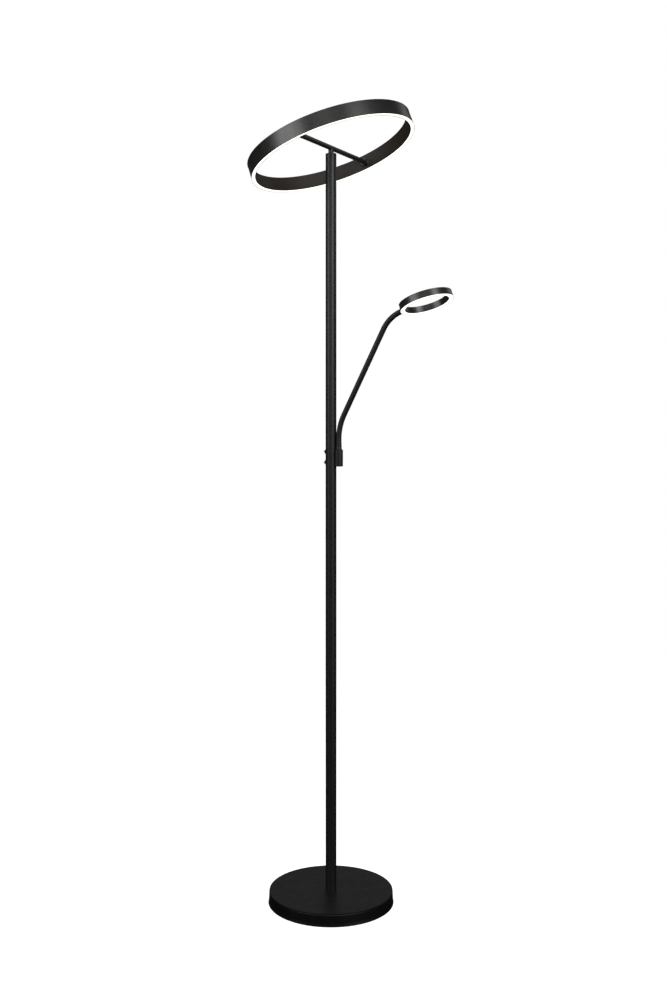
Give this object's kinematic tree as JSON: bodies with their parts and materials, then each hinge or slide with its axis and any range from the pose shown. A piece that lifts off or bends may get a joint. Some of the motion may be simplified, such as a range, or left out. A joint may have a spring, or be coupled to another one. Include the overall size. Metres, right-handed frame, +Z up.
{
  "type": "ring floor lamp with reading arm",
  "caption": "Black floor lamp: round weighted base, slim pole, tilting ring light on a crossbar, and a small ring reading light on a flexible arm.",
  "frame": {"origin": "centre of the base's underside, on the floor", "axes": "+Z up along the pole, +X towards the reading arm, +Y along the crossbar towards the side of the cord inlet"},
  "size_m": [0.5071, 0.41, 1.8949],
  "materials": {
    "base_paint": "fine satin black powder coat",
    "pole_paint": "fine satin black powder coat",
    "arm_paint": "satin black powder coat",
    "ring_paint": "satin black powder coat over rolled aluminium profile",
    "black_steel": "black oxide",
    "cast_iron": "as cast",
    "zinc_steel": "zinc plated",
    "mat": "closed-cell foam rubber",
    "sleeve": "smooth matt silicone sleeve",
    "grommet": "soft black rubber",
    "nylon": "matt black nylon",
    "driver_case": "moulded white plastic",
    "cable": "grey PVC sheath",
    "board": "white solder mask",
    "diffuser": "frosted acrylic, lit from behind"
  },
  "bodies": {
    "stand": {"base_mat": "mat", "base_weight": "cast_iron", "base_shell": "base_paint", "base_nut": "zinc_steel", "base_washer": "zinc_steel", "base_stud": "zinc_steel", "base_spacer": "zinc_steel", "cord_gland": "grommet", "led_driver": "driver_case", "driver_screws": "zinc_steel", "pole_foot_plug": "zinc_steel", "pole_lower": "pole_paint", "pole_middle": "pole_paint", "pole_upper": "pole_paint", "pole_coupler_lower": "zinc_steel", "pole_coupler_upper": "zinc_steel", "pole_top_cap": "pole_paint", "neck_nut": "zinc_steel", "neck_stem": "pole_paint", "crossbar": "pole_paint", "pivot_pin_near": "zinc_steel", "pivot_pin_far": "zinc_steel", "pivot_nuts": "zinc_steel", "friction_washers": "nylon", "supply_cable": "cable", "wire_splice": "nylon", "head_cable": "cable", "arm_cable": "cable", "switch_body_upper": "nylon", "switch_body_lower": "nylon", "switch_bushing_upper": "black_steel", "switch_bushing_lower": "black_steel", "switch_nuts": "black_steel", "arm_socket": "arm_paint", "socket_nipple": "zinc_steel", "socket_nut": "zinc_steel", "swivel_screw": "black_steel", "swivel_washer": "nylon"},
    "ring_head": {"ring_housing": "ring_paint", "ring_led_strip": "board", "ring_diffuser": "diffuser", "ring_boss_near": "ring_paint", "ring_boss_far": "ring_paint"},
    "lever_upper": {"switch_lever_upper": "black_steel"},
    "lever_lower": {"switch_lever_lower": "black_steel"},
    "arm_base": {"arm_collar": "arm_paint", "arm_link_1": "sleeve"},
    "arm_part_2": {"arm_link_2": "sleeve"},
    "arm_part_3": {"arm_link_3": "sleeve"},
    "arm_part_4": {"arm_link_4": "sleeve"},
    "arm_part_5": {"arm_link_5": "sleeve"},
    "arm_part_6": {"arm_link_6": "sleeve"},
    "reader_head": {"arm_link_7": "sleeve", "reader_stud": "zinc_steel", "reader_nut": "zinc_steel", "reader_housing": "ring_paint", "reader_led_strip": "board", "reader_diffuser": "diffuser"}
  },
  "joints": [
    {"name": "head_tilt", "type": "hinge", "parent": "stand", "child": "ring_head", "pos_m": [0, 0, 1.808], "axis": [0, 1, 0], "range_deg": [-55, 94]},
    {"name": "switch_upper_throw", "type": "hinge", "parent": "stand", "child": "lever_upper", "pos_m": [-0.0149, 0, 1.0785], "axis": [0, 1, 0], "range_deg": [-44, 0]},
    {"name": "switch_lower_throw", "type": "hinge", "parent": "stand", "child": "lever_lower", "pos_m": [-0.0149, 0, 1.0535], "axis": [0, 1, 0], "range_deg": [0, 44]},
    {"name": "arm_swivel", "type": "hinge", "parent": "stand", "child": "arm_base", "pos_m": [0.0208, 0, 1.084], "axis": [0, 0, 1], "range_deg": [-100, 100]},
    {"name": "flex_1", "type": "hinge", "parent": "arm_base", "child": "arm_part_2", "pos_m": [0.03497, 0, 1.16802], "axis": [0, 1, 0], "range_deg": [-6, 25]},
    {"name": "flex_2", "type": "hinge", "parent": "arm_part_2", "child": "arm_part_3", "pos_m": [0.06062, 0, 1.21836], "axis": [0, 1, 0], "range_deg": [-6, 25]},
    {"name": "flex_3", "type": "hinge", "parent": "arm_part_3", "child": "arm_part_4", "pos_m": [0.08627, 0, 1.2687], "axis": [0, 1, 0], "range_deg": [-6, 25]},
    {"name": "flex_4", "type": "hinge", "parent": "arm_part_4", "child": "arm_part_5", "pos_m": [0.11192, 0, 1.31904], "axis": [0, 1, 0], "range_deg": [-10, 25]},
    {"name": "flex_5", "type": "hinge", "parent": "arm_part_5", "child": "arm_part_6", "pos_m": [0.13757, 0, 1.36939], "axis": [0, 1, 0], "range_deg": [-10, 25]},
    {"name": "flex_6", "type": "hinge", "parent": "arm_part_6", "child": "reader_head", "pos_m": [0.15707, 0, 1.39435], "axis": [0, 1, 0], "range_deg": [-10, 25]}
  ],
  "couplings": [
    {"joint": "flex_2", "follows": "flex_1", "ratio": 1},
    {"joint": "flex_3", "follows": "flex_1", "ratio": 1},
    {"joint": "flex_5", "follows": "flex_4", "ratio": 1},
    {"joint": "flex_6", "follows": "flex_4", "ratio": 1}
  ]
}
